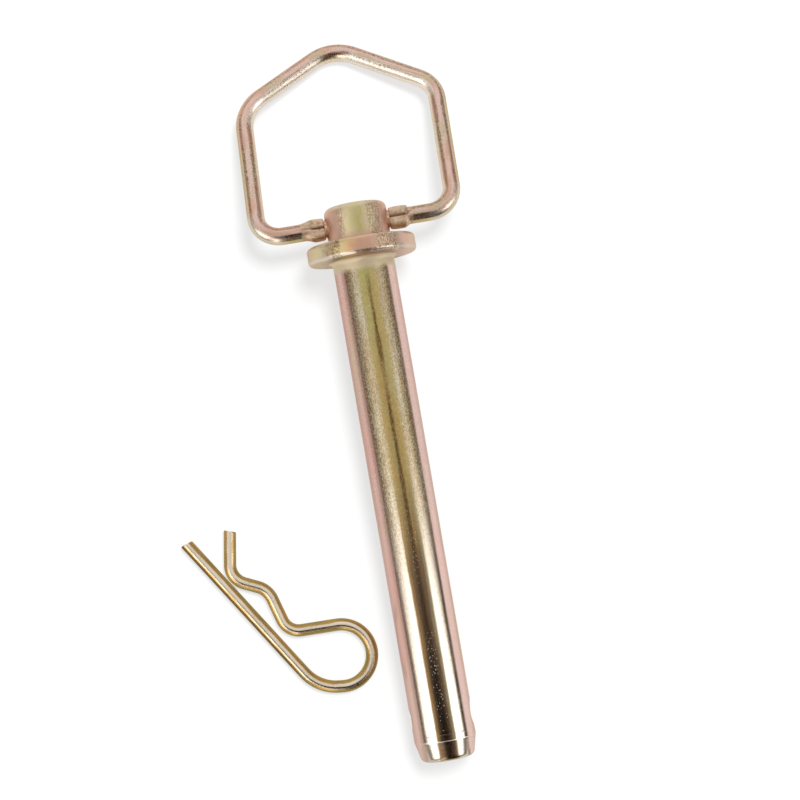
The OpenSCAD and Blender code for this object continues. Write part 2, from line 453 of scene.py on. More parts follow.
def loop_points():
    """The corners of the handle's loop, from one wire end in the head to the other."""
    left = lean_over(-handle_w / 2, shoulder_h[0])
    right = lean_over(handle_w / 2, shoulder_h[1])
    slant = math.tan(handle_lean)
    return [
        (-wire_end_gap / 2, 0),
        (left[0] - left[1] * slant, 0),
        left,
        lean_over(0, peak_h),
        right,
        (right[0] - right[1] * slant, 0),
        (wire_end_gap / 2, 0),
    ]


ear_start = head_r + ear_gap
ear_end = ear_start + ear_len
handle_length = walk(loop_points(), handle_bends)[-1][2]
# Where the loop's lower bends lie, along the wire from its peak.
foot_bend = handle_length / 2 - handle_w / 2 + wire_end_gap / 2 + 2

# Where the press lets go of each lobe of the staked ears: (start, end) as shares of the ear's length.
lobe_ends = {
    ("left", "near"): (0.50, 1.02),
    ("left", "far"): (0.62, 1.30),
    ("right", "near"): (0.74, 1.04),
    ("right", "far"): (0.90, 1.00),
}


def handle_section(length, angle, place):
    """A round wire, staked on each side of the head into two lobes with a crease between them."""
    c, s = math.cos(angle), math.sin(angle)
    u, v = handle_wire_r * c, handle_wire_r * s
    x = abs(place.x)
    if place.y > 3 or x < ear_start - 0.001 or x > ear_end + 3:
        return u, v
    along = (x - ear_start) / ear_len
    lobe = ("right" if place.x > 0 else "left", "near" if c > 0 else "far")
    pressed = 1 - smooth(along, *lobe_ends[lobe])
    # The ear is rounded off beside the head and swells to its full width halfway along.
    rounded = math.sqrt(max(0.0, 1 - max(0.0, 1 - (x - ear_start) / ear_end_round) ** 2))
    swollen = 0.5 + 0.5 * math.sin(math.pi * min(1, max(0, along * 0.95 + 0.05)))
    slim = handle_wire_r + 0.1
    half_w = (slim + (ear_half_w - slim) * swollen) * (0.88 + 0.12 * rounded)
    half_t = ear_half_t * (0.90 + 0.10 * rounded)
    # Each lobe has steep sides and a flat top, and the ear closes smoothly at its two edges.
    ear_u = half_w * math.copysign(abs(c) ** 0.75, c)
    lobe_at = 0.45 * half_w
    inside = 1 - min(1.0, abs(abs(ear_u) - lobe_at) / (half_w - lobe_at + 0.02)) ** 2
    hump = max(0.0, inside) ** 0.22
    crease = crease_depth * math.exp(-((ear_u / crease_half_w) ** 2))
    ear_v = math.copysign(half_t * hump, s) - math.copysign(crease, s)
    if abs(s) < 0.12:
        ear_v *= abs(s) / 0.12
    return u + (ear_u - u) * pressed, v + (ear_v - v) * pressed


def make_handle():
    """The wire loop, hanging from the hinge until its peak rests on the surface."""
    samples = walk(loop_points(), handle_bends)
    reach = max(s[0].y for s in samples)
    droop = math.asin((hinge.z - handle_wire_r) / reach)
    hangs = Matrix.Translation(hinge) @ Matrix.Rotation(-droop, 4, "X")
    samples = finer(samples, lambda p: p.y < 1 and ear_start - 1 < abs(p.x) < ear_end + 3, spacing=0.16)
    return wire_piece("wire_handle", sweep(samples, handle_section, handle_around), hangs)


# ---------------------------------------------------------------- the hairpin clip
def clip_samples():
    """Samples along the clip's bending steps, from the cut end of its straight leg."""

    def cos(a):
        return math.cos(math.radians(a))

    def sin(a):
        return math.sin(math.radians(a))

    # The wire's heading, in degrees, when it leaves the eye, the hump, the pinch and the last bend.
    out = 180 + clip_slopes[0]
    hump = 180 - clip_slopes[1]
    pinch = 180 + clip_slopes[2]
    tail = 180 - clip_slopes[3]
    exit_y = (
        clip_lead_bend * (1 - cos(clip_lead_turn))
        + clip_eye_run * sin(clip_lead_turn)
        + clip_eye * (cos(clip_lead_turn) - cos(out))
    )
    # How far the wire comes down from the eye, so that the pinch stays just clear of the leg.
    drop = (
        exit_y
        - (2 * clip_r + clip_pinch_gap)
        + clip_bends[0] * (cos(hump) - cos(out))
        + clip_runs[0] * sin(hump)
        - clip_bends[1] * (cos(pinch) - cos(hump))
        + clip_runs[1] * sin(pinch)
        + clip_bends[2] * (-1 - cos(pinch))
    )
    steps = [
        (clip_leg, clip_lead_bend, clip_lead_turn),
        (clip_eye_run, clip_eye, out - clip_lead_turn),
        (drop / sin(clip_slopes[0]), clip_bends[0], hump - out),
        (clip_runs[0], clip_bends[1], pinch - hump),
        (clip_runs[1], clip_bends[2], tail - pinch),
        (clip_runs[2], 0, 0),
    ]
    samples = []
    at = Vector((0, 0))
    angle = 0
    length = 0
    for run, radius, turn in steps:
        ahead = Vector((cos(angle), sin(angle)))
        samples += run_samples(at, ahead, run, length, spacing=0.8)
        at = at + ahead * run
        length += run
        if turn:
            bend = bend_samples(at, ahead, turn > 0, radius, abs(turn), length)
            samples += bend[:-1]
            at, _, length = bend[-1]
            angle += turn
    samples.append((at, ahead, length))
    return samples


def make_clip():
    """The clip, lying where the frame has it, with its ends cut a little askew."""
    samples = clip_samples()
    first, last = samples[0][0], samples[-1][0]
    total = samples[-1][2]

    def section(length, angle, place):
        end = min(length, total - length)
        r = clip_r * (1 - clip_end_thinner * max(0.0, 1 - end / clip_end_round) ** 2)
        return r * math.cos(angle), r * math.sin(angle)

    def cropped(length, aside):
        """The cutter came in askew: the ends are cut back on one side of the wire."""
        across = aside / clip_r
        start = clip_skews[0] * (1 + across) * (1 - smooth(length, 0, clip_skew_run))
        end = clip_skews[1] * (1 - across) * smooth(length, total - clip_skew_run, total)
        return start - end

    close = finer(samples, lambda p: (p - first).length < 1 or (p - last).length < 1, spacing=0.12)
    swept = sweep(close, section, clip_around, cropped)
    turn = Matrix.Rotation(clip_turn - math.pi / 2, 4, "Z")
    turned = [turn @ Vector(v) for v in swept[0]]
    low, high = (Vector(c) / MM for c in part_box("hairpin_clip"))
    mid = [(min(v[i] for v in turned) + max(v[i] for v in turned)) / 2 for i in range(3)]
    lies = Matrix.Translation([(low[i] + high[i]) / 2 - mid[i] for i in range(3)]) @ turn
    return wire_piece("spring_clip", swept, lies)


# ---------------------------------------------------------------- finishes
class Field:
    """A socket of a node tree. Arithmetic on it adds Math nodes."""

    def __init__(self, finish, socket):
        self.finish = finish
        self.socket = socket

    def _math(self, operation, *values):
        return self.finish.node("ShaderNodeMath", {"operation": operation}, dict(enumerate(values)))[0]

    def __add__(self, other):
        return self._math("ADD", self, other)

    def __sub__(self, other):
        return self._math("SUBTRACT", self, other)

    def __mul__(self, other):
        return self._math("MULTIPLY", self, other)

    def __truediv__(self, other):
        return self._math("DIVIDE", self, other)

    def __rsub__(self, other):
        return self._math("SUBTRACT", other, self)

    def __rtruediv__(self, other):
        return self._math("DIVIDE", other, self)

    def __abs__(self):
        return self._math("ABSOLUTE", self)

    __radd__ = __add__
    __rmul__ = __mul__


class Finish:
    """Builds the nodes of one material or world."""

    def __init__(self, owner):
        owner.use_nodes = True
        self.tree = owner.node_tree
        self.tree.nodes.clear()

    def node(self, kind, settings=None, values=None):
        """Adds a node: its settings first, then the values or links of its sockets.

        Returns its outputs.
        """
        made = self.tree.nodes.new(kind)
        for key, value in (settings or {}).items():
            if key == "stops":
                ramp = made.color_ramp.elements
                while len(ramp) > 1:
                    ramp.remove(ramp[-1])
                for i, (position, colour) in enumerate(value):
                    stop = ramp[0] if i == 0 else ramp.new(position)
                    stop.position = position
                    stop.color = (*colour, 1)
            else:
                setattr(made, key, value)
        for key, value in (values or {}).items():
            socket = made.inputs[key]
            if isinstance(value, Field):
                self.tree.links.new(value.socket, socket)
            elif hasattr(value, "__len__") and len(value) == 3 and socket.type == "RGBA":
                socket.default_value = (*value, 1)
            else:
                socket.default_value = value
        return [Field(self, s) for s in made.outputs if s.enabled]

    def noise(self, place, scale, detail=2.0, rough=0.5):
        """Noise around 0.5."""
        values = {"Vector": place, "Scale": scale, "Detail": detail, "Roughness": rough}
        return self.node("ShaderNodeTexNoise", {}, values)[0]

    def ease(self, x, low, high, start=0.0, end=1.0):
        """start where x is below low, end where it is above high, eased between."""
        values = {"Value": x, "From Min": low, "From Max": high, "To Min": start, "To Max": end}
        return self.node("ShaderNodeMapRange", {"interpolation_type": "SMOOTHSTEP"}, values)[0]

    def fade(self, x, low, high, start=1.0, end=0.0):
        """As ease, but going down: start where x is below low, end where it is above high."""
        return self.ease(x, low, high, start, end)

    def mix(self, mask, one, two, blend="MIX"):
        """One colour where mask is 0 and the other where it is 1."""
        settings = {"data_type": "RGBA", "blend_type": blend}
        return self.node("ShaderNodeMix", settings, {0: mask, 6: one, 7: two})[0]

    def tinted(self, colour, tint):
        """A colour seen through a film of another."""
        return self.mix(1.0, colour, tint, "MULTIPLY")

    def patchwork(self, x, stops):
        """A colour for each stretch of x, blended from one stop to the next."""
        return self.node("ShaderNodeValToRGB", {"stops": stops}, {"Fac": x})[0]

    def stretch(self, place, factors):
        """place with each axis multiplied by its own factor."""
        return self.node("ShaderNodeVectorMath", {"operation": "MULTIPLY"}, {0: place, 1: factors})[0]

    def parts(self, vector):
        """The three parts of a vector."""
        return self.node("ShaderNodeSeparateXYZ", {}, {0: vector})

    def in_mm(self, place):
        """The three parts of a place, in millimetres."""
        return self.parts(self.stretch(place, (1 / MM, 1 / MM, 1 / MM)))


def srgb(red, green, blue):
    """A colour written as 0 to 255 in the usual display coding."""
    return tuple(
        c / 12.92 if c <= 0.04045 else ((c + 0.055) / 1.055) ** 2.4
        for c in (red / 255, green / 255, blue / 255)
    )


# Hues of the zinc plating.
pink = srgb(204, 174, 162)
rose = srgb(208, 168, 158)
lilac = srgb(234, 206, 200)
peach = srgb(210, 172, 152)
blush = srgb(222, 188, 164)
rosewood = srgb(214, 178, 156)
tan = srgb(194, 172, 144)
oat = srgb(206, 186, 160)
clay = srgb(184, 166, 134)
cream = srgb(216, 202, 174)
olive_gold = srgb(186, 170, 118)
green_gold = srgb(186, 178, 118)
warm_gold = srgb(190, 162, 104)
copper = srgb(182, 147, 88)
brass = srgb(146, 132, 72)
honey = srgb(168, 134, 72)
bronze = srgb(160, 128, 84)
umber = srgb(132, 106, 82)
driftwood = srgb(160, 144, 112)
# Pale hues. Steel, bright steel, pearl and the bare edge are painted highlights; shale and ash are paler
# plating.
steel = srgb(212, 200, 186)
highlight_steel = srgb(230, 220, 208)
highlight_pearl = srgb(230, 216, 196)
shale = srgb(196, 184, 162)
ash = srgb(190, 180, 154)
lead_line_highlight = (0.95, 0.92, 0.88)
# Darkening tints and light specks. Painted shade on the bar and on the clip's leg; painted dark lines on
# the wire and its darker foot; the grain's flecks, partly painted speckle; a painted black reflection; and
# white and warm specks, painted glints.
bar_shade = (0.50, 0.40, 0.33)
wire_darkening = (0.52, 0.42, 0.33)
leg_shade = (0.36, 0.31, 0.22)
grain_and_speckle_shade = (0.50, 0.44, 0.37)
reflected_black = (0.03, 0.02, 0.014)
glint_white = (0.8, 0.78, 0.76)
warm_white = (1, 0.97, 0.9)

# Around the collar and around the head, each from its left side to its right.
collar_hues = (
    (0.02, srgb(206, 188, 152)),
    (0.14, srgb(210, 196, 160)),
    (0.22, srgb(182, 156, 126)),
    (0.29, srgb(204, 188, 140)),
    (0.34, srgb(206, 184, 140)),
    (0.38, srgb(220, 180, 128)),
    (0.42, srgb(212, 170, 144)),
    (0.56, srgb(214, 170, 148)),
    (0.66, srgb(206, 182, 156)),
    (0.80, srgb(200, 172, 152)),
    (0.92, srgb(218, 184, 166)),
    (1.00, srgb(212, 190, 162)),
)
head_hues = (
    (0.03, srgb(222, 186, 166)),
    (0.18, srgb(214, 178, 158)),
    (0.25, srgb(202, 180, 150)),
    (0.34, srgb(210, 198, 158)),
    (0.48, srgb(204, 192, 140)),
    (0.53, srgb(200, 188, 120)),
    (0.57, srgb(206, 190, 150)),
    (0.72, srgb(206, 188, 160)),
    (0.84, srgb(208, 182, 156)),
    (0.89, srgb(222, 180, 164)),
    (1.00, srgb(228, 194, 178)),
)

# How rough the plating is, how small its grain, how deep the grain goes, and its tint at a grazing angle.
pin_coat = {"rough": 0.20, "grain": 2600, "deep": 0.012 * MM, "edge": (0.80, 0.72, 0.68)}
handle_coat = dict(pin_coat, rough=0.24, deep=0.009 * MM)
clip_coat = dict(pin_coat, rough=0.20, deep=0.003 * MM)
pin_marks_deep = 0.008 * MM
handle_marks_deep = 0.004 * MM
clip_marks_deep = 0.003 * MM


def plating(name, stock_of, tints, coat):
    """Bright chromate plating over worked steel.

    tints(finish, place) gives the colour, how thickly the dark grain lies, how rough it is beyond the
    coat's own roughness, the height of tool marks, and where white specks lie, which are painted glints.
    """
    material = bpy.data.materials.new(name)
    f = Finish(material)
    place = stock_of(f)
    colour, dense, rougher, marks, glint_specks = tints(f, place)
    grain = f.noise(f.stretch(place, (1, 1, 0.6)), coat["grain"], rough=0.6)
    fine = f.noise(place, coat["grain"] * 2.1, detail=1.0)
    patch = f.noise(place, 140, 3.0, 0.55)
    # Dark flecks of grain, partly the grain's own tone and partly painted speckle of the reflections; the
    # lighter specks are painted glints.
    flecks = f.ease(grain + (fine - 0.5) * 0.4, 0.42, 0.62) * dense
    glints = f.fade(grain, 0.34, 0.46) * dense
    pimples = f.ease(fine, 0.66, 0.74)
    colour = f.mix(flecks, colour, f.tinted(colour, grain_and_speckle_shade))
    colour = f.mix(glints * 0.35, colour, f.mix(0.4, colour, warm_white))
    # White specks, painted glints.
    colour = f.mix(glint_specks, colour, glint_white)
    rough = glint_specks * 0.4 + coat["rough"] + rougher + (patch - 0.5) * 0.08 + flecks * 0.12
    height = (grain * (0.2 + dense) + fine * 0.3 + pimples * 0.8) * coat["deep"] + marks
    bump = f.node("ShaderNodeBump", {}, {"Strength": 1.0, "Distance": 1.0, "Height": height})[0]
    shader = f.node(
        "ShaderNodeBsdfPrincipled",
        {},
        {
            "Base Color": colour,
            "Metallic": 1.0 - glint_specks,
            "Roughness": rough,
            "Specular Tint": coat["edge"],
            "Normal": bump,
        },
    )[0]
    f.node("ShaderNodeOutputMaterial", {}, {"Surface": shader})
    return material


def on_the_wire(f):
    """Places on the straight stock that a wire was bent from: aside, up, and along it."""
    return f.node("ShaderNodeAttribute", {"attribute_name": "stock"})[1]


def on_the_pin(f):
    """Places in the pin's own directions: across, up from its axis, and along it from the collar's seat."""
    at = f.node("ShaderNodeTexCoord")[3]
    moved = f.node("ShaderNodeVectorMath", {"operation": "SUBTRACT"}, {0: at, 1: hinge * MM})[0]
    turned = f.node(
        "ShaderNodeVectorRotate",
        {"rotation_type": "X_AXIS"},
        {"Vector": moved, "Angle": math.pi / 2 - pin_tilt},
    )[0]
    return f.node("ShaderNodeVectorMath", {"operation": "ADD"}, {0: turned, 1: (0, 0, hinge_z * MM)})[0]


def pin_places(f, place):
    """Where a point lies on the pin, in millimetres, with the noises and masks that its tints share."""
    at = SimpleNamespace()
    at.across, _, at.along = f.in_mm(place)
    at.wide = abs(at.across)
    at.broad = f.noise(f.stretch(place, (1, 1, 0.45)), 170)
    at.streak = f.noise(f.stretch(place, (1, 1, 0.07)), 560, rough=0.55)
    at.slow = f.noise(f.stretch(place, (1, 1, 0.3)), 90)
    at.blotch = f.noise(f.stretch(place, (1, 1, 0.8)), 380, 3.0, 0.6) - 0.5
    at.turned = f.noise(f.stretch(place, (0.03, 0.03, 1)), 3200)
    at.wander = (at.broad - 0.5) * 1.6
    # The upper half keeps its colour. Towards the tip the crown is painted with highlights and a dark
    # reflection, and the bar is smoother.
    at.rubbed = f.fade(at.along + (at.streak - 0.5) * 50, -105, -60)
    # The collar and head together, the dull stretch under the collar, and the shank without it.
    at.top = f.ease(at.along, -0.3, 0.1)
    at.fillet = f.ease(at.along, -4.6, -2.6)
    at.shank = (1 - at.top) * (1 - at.fillet)
    # The ridge along the middle of the crown is painted dark, a painted reflection; the grain lies thicker
    # there too.
    at.ridge = f.fade(at.wide + (at.broad - 0.42) * 1.2, 0.25, 0.95)
    at.ridge = at.ridge * f.ease(at.slow, 0.36, 0.48, 0.35, 1.0) * f.fade(at.along, -12, -4)
    # The collar's lower edge carries a painted highlight, broken by one painted dark gap.
    at.rim_edge = f.fade(at.along + at.blotch, 0.9, 1.4) * f.ease(at.along, 0.1, 0.4)
    at.rim_gap = f.fade(abs(at.across + 0.4 + at.blotch * 12), 1.2, 3.6, 0.7)
    # The lead, and the line where it starts.
    at.lead = f.fade(at.along, lead_z - 0.15, lead_z + 0.1)
    line = f.fade(abs(at.along - (lead_z + 0.05)), 0.05, 0.22)
    at.line = line * f.fade(at.wide, 6.2, 7.4, 1.0, 0.12)
    return at


def shank_hues(f, at):
    """Gold along the crown and pink along the sides, a painted sheen: the plating's hue as the bar turns
    away. Near the tip the crown is painted with steel highlights and a dark reflection down its middle.
    """
    near_seat = f.ease(at.along, -45, -8)
    near_left = f.fade(at.across + at.wander, -0.4, 0.2, 1.0, 0.3)
    gold = f.mix(f.ease(at.streak, 0.42, 0.56), olive_gold, warm_gold)
    gold = f.mix(f.ease(at.slow, 0.34, 0.46) * near_seat * near_left, gold, green_gold)
    outer = f.mix(f.ease(at.streak, 0.46, 0.60), clay, ash)
    crown = f.mix(f.ease(at.wide + at.wander, 2.0, 3.2), gold, outer)
    # Near the tip the crown is painted: umber down the middle, a painted dark reflection; bronze beside it;
    # pale steel beyond, painted highlights.
    beside = f.mix(f.ease(at.across, -0.5, 0.5), bronze, driftwood)
    bright = f.mix(f.ease(at.wide + at.wander, 1.5, 2.2), umber, beside)
    bright = f.mix(f.ease(at.wide + at.wander * 0.5, 2.5, 3.1), bright, steel)
    crown = f.mix(at.rubbed, crown, bright)
    side = f.mix(f.ease(at.slow, 0.42, 0.58), pink, rose)
    side = f.mix(f.ease(at.streak, 0.52, 0.66) * 0.6, side, tan)
    # The right flank is painted paler, as if lit more from the right: painted light.
    pale = f.fade(abs(at.across - 7.3), 0.4, 1.8, 0.42, 0.10) * f.ease(at.across, 0, 2)
    side = f.mix(pale, side, lilac)
    gilt = f.ease(at.across, 8.2, 9.2) * f.ease(at.streak, 0.46, 0.56) * at.rubbed
    side = f.mix(gilt * 0.8, side, olive_gold)
    return f.mix(f.ease(at.wide, 6.0, 6.9), crown, side)


def collar_and_head_hues(f, at):
    """The collar and the head in patches from side to side. The head's pink flanks and gold middle are a
    painted sheen.
    """
    rim = f.patchwork((at.across + at.blotch * 14) / (2 * collar_r) + 0.5, collar_hues)
    # A painted highlight along the crest of the collar's upper rim.
    crest_highlight = f.ease(at.along + at.blotch, collar_t - 0.7, collar_t - 0.3)
    rim = f.mix(crest_highlight * 0.7, rim, cream)
    # The lower edge: a painted highlight with a painted dark gap.
    rim = f.mix(at.rim_edge, rim, f.mix(at.rim_gap, steel, umber))
    knob = f.patchwork((at.across + at.blotch * 7) / (2 * head_r) + 0.5, head_hues)
    low = f.fade(at.along + at.blotch * 2, collar_t + 1.1, collar_t + 2.9, 0.8)
    knob = f.mix(low, knob, rosewood)
    knob = f.mix(f.ease(at.along, head_top - 2.0, head_top - 1.0) * 0.7, knob, cream)
    return f.mix(f.ease(at.along, collar_t - 0.2, collar_t + 0.1), rim, knob)


def shade_the_shank(f, at, colour):
    """Painted shade and painted dark reflections: darkens both edges of the crown, its ridge, the sides and
    a little the collar and head, and draws dark lines down the bright stretch near the tip.
    """
    shaded = f.tinted(colour, bar_shade)
    # Painted dark reflections along both edges of the crown and down its ridge.
    edge_from = 3.2 + f.ease(at.across, -1, 1) * 1.2
    edge = f.ease(at.wide + at.wander * 0.8, edge_from, 6.2) * f.fade(at.wide, 6.5, 6.9)
    colour = f.mix((edge * 0.62 + at.ridge) * at.shank * (1 - at.rubbed * 0.4), colour, shaded)
    # A painted shadow line down the left flank, and painted shade where the sides turn away.
    left_shade_line = f.ease(at.across, -8.0, -7.2) * f.fade(at.across, -6.6, -6.0) * 0.42
    turn_away = f.ease(at.wide, 8.4, 9.2) * f.fade(at.across, -1, 1, 0.30, 0.18)
    colour = f.mix((left_shade_line + turn_away) * at.shank + at.top * 0.09, colour, shaded)
    # A painted dark reflection line on the right, where the crown meets the side near the tip.
    painted_dark_line = f.fade(abs(at.across - 6.2 + at.wander * 0.25), 0.18, 0.48) * at.rubbed
    colour = f.mix(painted_dark_line * 0.8 * f.ease(at.streak, 0.34, 0.46, 0.4, 1.0), colour, umber)
    # A painted black reflection down the middle near the tip.
    middle = f.fade(at.wide + at.wander * 0.5, 0.8, 2.0) * f.fade(at.along, -140, -100, 0.5)
    return f.mix(middle, colour, reflected_black)


def cut_lead(f, at, colour):
    """The turned lead: paler, with a painted dark reflection along its middle and a painted highlight on
    the line where it starts.
    """
    colour = f.mix(at.lead * 0.15, colour, shale)
    colour = f.mix(at.lead * f.fade(at.wide, 2.4, 3.4, 0.8), colour, umber)
    colour = f.mix(at.line * 0.7, colour, lead_line_highlight)
    end_face = f.fade(at.along, 0.25 - shank_len, 0.7 - shank_len)
    return f.mix(end_face, colour, ash)


def pin_grain(f, at):
    """How thickly the dark grain lies on the shank, in drifts on the collar and head, and on the lead."""
    speckled = f.ease(at.wide + at.wander, 1.8, 2.8) * f.fade(at.wide, 6.2, 6.8, 0.3)
    band = f.ease(at.wide + at.wander, 3.4, 5.6) * f.fade(at.wide, 6.4, 7.0)
    shank = (0.2 + speckled + band * 0.5 + at.ridge * 0.5) * (1 - at.rubbed * 0.8) * (1 - at.fillet)
    drift = f.ease(at.broad, 0.44, 0.54)
    head_right = f.ease(at.across, 2.4, 3.6) * f.fade(at.across, 6.6, 7.6)
    head_left = f.fade(abs(at.across + 5.3), 0.5, 1.2) * drift * drift
    rim_left = f.fade(abs(at.across + 8.2 + at.blotch * 3), 0.8, 1.8)
    rim_right = f.fade(abs(at.across - 8.0 + at.blotch * 6), 2.5, 5.0, 0.9) * drift
    on_head = f.ease(at.along, collar_t - 0.2, collar_t + 0.3)
    spots = on_head * (head_right + head_left) * 0.8
    spots = spots + (1 - on_head) * (rim_left + rim_right + at.rim_edge * at.rim_gap)
    crown = f.ease(at.along, head_top - 0.9, head_top - 0.3)
    dense = shank * (1 - at.top) + spots * at.top * (1 - crown * 0.8) + 0.05
    grooves = f.ease(at.turned, 0.46, 0.58) * f.fade(at.wide, 2.6, 3.4, 0.5, 0.12)
    return dense + at.lead * grooves


def pin_tints(f, place):
    """The pin: a gold and pink shank, painted with highlights and dark reflections near the tip, and a
    patchy collar and head.
    """
    at = pin_places(f, place)
    shank = f.mix(at.fillet, shank_hues(f, at), cream)
    colour = f.mix(at.top, shank, collar_and_head_hues(f, at))
    colour = shade_the_shank(f, at, colour)
    colour = cut_lead(f, at, colour)
    rougher = 0.08 - at.rubbed * 0.10 + at.fillet * 0.36 + at.top * (0.04 - at.fillet * 0.30)
    rougher = rougher + at.lead * 0.03 + at.line * 0.2
    marks = at.turned * (at.lead * 1.4 + at.top * 0.2 + at.fillet * 0.2) * pin_marks_deep
    # White specks on the ridge, painted glints, more of them towards the tip.
    specks = f.ease(f.noise(place, 1900, detail=1.0), 0.62, 0.70) * f.ease(at.streak, 0.44, 0.56)
    glint_specks = specks * at.rubbed * (1 - at.lead) * f.fade(at.wide, 0.9, 1.7) * 0.55
    return colour, pin_grain(f, at), rougher, marks, glint_specks


def handle_tints(f, place):
    """Peach and pink wire with greenish edges and a pale middle, a painted highlight. aside is positive
    outside the loop.
    """
    aside, _, along = f.in_mm(place)
    broad = f.noise(f.stretch(place, (1, 1, 0.5)), 140)
    other = f.noise(f.stretch(place, (1, 1, 0.25)), 420)
    draw = f.noise(f.stretch(place, (1, 1, 0.02)), 1500)
    wide = abs(aside) + (other - 0.5) * 1.2
    uneven = aside + (other - 0.5)
    from_peak = abs(along - handle_length / 2)
    colour = f.mix(f.ease(broad, 0.42, 0.60), peach, oat)
    colour = f.mix(f.ease(other, 0.54, 0.62) * 0.8, colour, pink)
    edge = f.mix(f.ease(aside, -1, 1), cream, olive_gold)
    colour = f.mix(f.ease(wide, 1.8, 2.4) * 0.9, colour, edge)
    # The pale lilac middle: a painted highlight along the wire.
    colour = f.mix(f.fade(wide, 0.5, 1.1, 0.5) * f.ease(other, 0.40, 0.55), colour, lilac)
    # Painted highlights inside the upper loop and outside the lower bends.
    upper = f.fade(from_peak, 37, 41) * f.ease(from_peak, 2, 7)
    lower = f.fade(abs(from_peak - foot_bend), 4, 8)
    rubbed = f.fade(uneven, -1.1, -0.6) * upper + f.ease(uneven, 0.5, 1.1) * lower * 0.7
    colour = f.mix(rubbed * 0.8, colour, highlight_steel)
    # Painted dark reflections lie as lines on both sides of the pale middle, and the loop darkens towards
    # its foot.
    lines = f.ease(wide, 0.7, 1.1) * f.fade(wide, 1.5, 1.9)
    foot = f.ease(from_peak, foot_bend - 6, foot_bend + 2) * 0.2
    colour = f.mix(lines * (1 - rubbed) * 0.36 + foot, colour, f.tinted(colour, wire_darkening))
    # The staked ears are dull and nicked, with painted shade along the crease between their lobes.
    ears = f.ease(from_peak, handle_length / 2 - 17, handle_length / 2 - 16)
    nicks = f.noise(place, 560, rough=0.6)
    colour = f.mix(ears * 0.85, colour, f.mix(f.ease(nicks, 0.40, 0.60), tan, blush))
    crease = f.fade(abs(aside + (nicks - 0.5) * 2.4), 0.1, 0.5, 0.55) + f.fade(nicks, 0.32, 0.40, 0.4)
    colour = f.mix(ears * crease, colour, umber)
    dense = (0.3 + lines * 0.7) * f.ease(broad, 0.36, 0.56, 0.4, 1.0) * (1 - ears * 0.5)
    rougher = (broad - 0.5) * 0.1 + ears * 0.2 + rubbed * 0.12
    return colour, dense, rougher, draw * handle_marks_deep, 0.0


def clip_tints(f, place):
    """Golden wire with a pale middle, a painted highlight. aside is negative outside the eye and below the
    straight leg.
    """
    aside, _, along = f.in_mm(place)
    broad = f.noise(f.stretch(place, (1, 1, 0.4)), 260)
    other = f.noise(f.stretch(place, (1, 1, 0.25)), 620)
    wide = abs(aside) + (other - 0.5) * 0.8
    colour = f.mix(f.ease(broad, 0.38, 0.52), honey, brass)
    colour = f.mix(f.fade(wide, 1.1, 1.6), colour, copper)
    # The pale pearl middle: a painted highlight.
    colour = f.mix(f.fade(wide, 0.5, 0.95), colour, highlight_pearl)
    # Painted shade along the leg's outer side.
    leg_shade_side = f.fade(along, 48, 60) * f.fade(aside + (other - 0.5) * 0.5, -1.25, -0.75)
    colour = f.mix(leg_shade_side * 0.85, colour, f.tinted(colour, leg_shade))
    dense = f.ease(broad, 0.44, 0.60, 0.0, 0.35)
    return colour, dense, f.ease(wide, 0.4, 0.9) * 0.17, other * clip_marks_deep, 0.0


def finish_piece(piece, material, body, node):
    """Gives a piece its one material, its body, and the part that it stands in for."""
    piece.data.materials.clear()
    piece.data.materials.append(material)
    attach(piece, body)
    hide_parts(node)


pin = make_pin()
handle = make_handle()
clip = make_clip()
clip.visible_glossy = False
finish_piece(pin, plating("pin_plating", on_the_pin, pin_tints, pin_coat), "pin_body", "pin")
finish_piece(
    handle,
    plating("handle_plating", on_the_wire, handle_tints, handle_coat),
    "handle_body",
    "handle",
)
finish_piece(
    clip,
    plating("clip_plating", on_the_wire, clip_tints, clip_coat),
    "pin_body",
    "hairpin_clip",
)

# ---------------------------------------------------------------- floor, light and camera
white = (1, 1, 1)
floor_size = 4
floor_drop = 0.05 * MM
floor_grey = (0.20, 0.20, 0.20)
floor_glow_seen = 0.69
floor_glow_mirrored = 0.79

ambient_level = 0.55
tent_colour = (1, 0.99, 0.97)
tent_level = 0.88
strip_level = 3.6
low_panel_level = 3.0

key_size = 0.66
key_watts = 51
key_place = (0.40, 0.44, 1.90)

lens_length = 89.36
sensor_width = 36
camera_from_hinge = (-0.02806, -0.10907, 0.60295)
camera_turns = (("Z", -9.65), ("X", 5.48), ("Y", -2.12))


def make_floor():
    """A pale floor that keeps the shadow. Seen and mirrored it glows up to white, and lights nothing."""
    sculpt = bmesh.new()
    bmesh.ops.create_grid(sculpt, x_segments=2, y_segments=2, size=floor_size)
    mesh = bpy.data.meshes.new("studio_floor")
    sculpt.to_mesh(mesh)
    sculpt.free()
    floor = bpy.data.objects.new("studio_floor", mesh)
    bpy.context.scene.collection.objects.link(floor)
    floor.location = (0, 0, cad_low.z - floor_drop)
    material = bpy.data.materials.new("white_floor")
    f = Finish(material)
    path = f.node("ShaderNodeLightPath")
    seen, mirrored = path[0], path[3]
    level = seen * floor_glow_seen + mirrored * floor_glow_mirrored
    plain = f.node("ShaderNodeBsdfDiffuse", {}, {"Color": floor_grey})[0]
    glow = f.node("ShaderNodeEmission", {}, {"Color": white, "Strength": level})[0]
    lit = f.node("ShaderNodeAddShader", {}, {0: plain, 1: glow})[0]
    mixed = f.node("ShaderNodeMixShader", {}, {0: seen + mirrored, 1: plain, 2: lit})[0]
    f.node("ShaderNodeOutputMaterial", {}, {"Surface": mixed})
    mesh.materials.append(material)


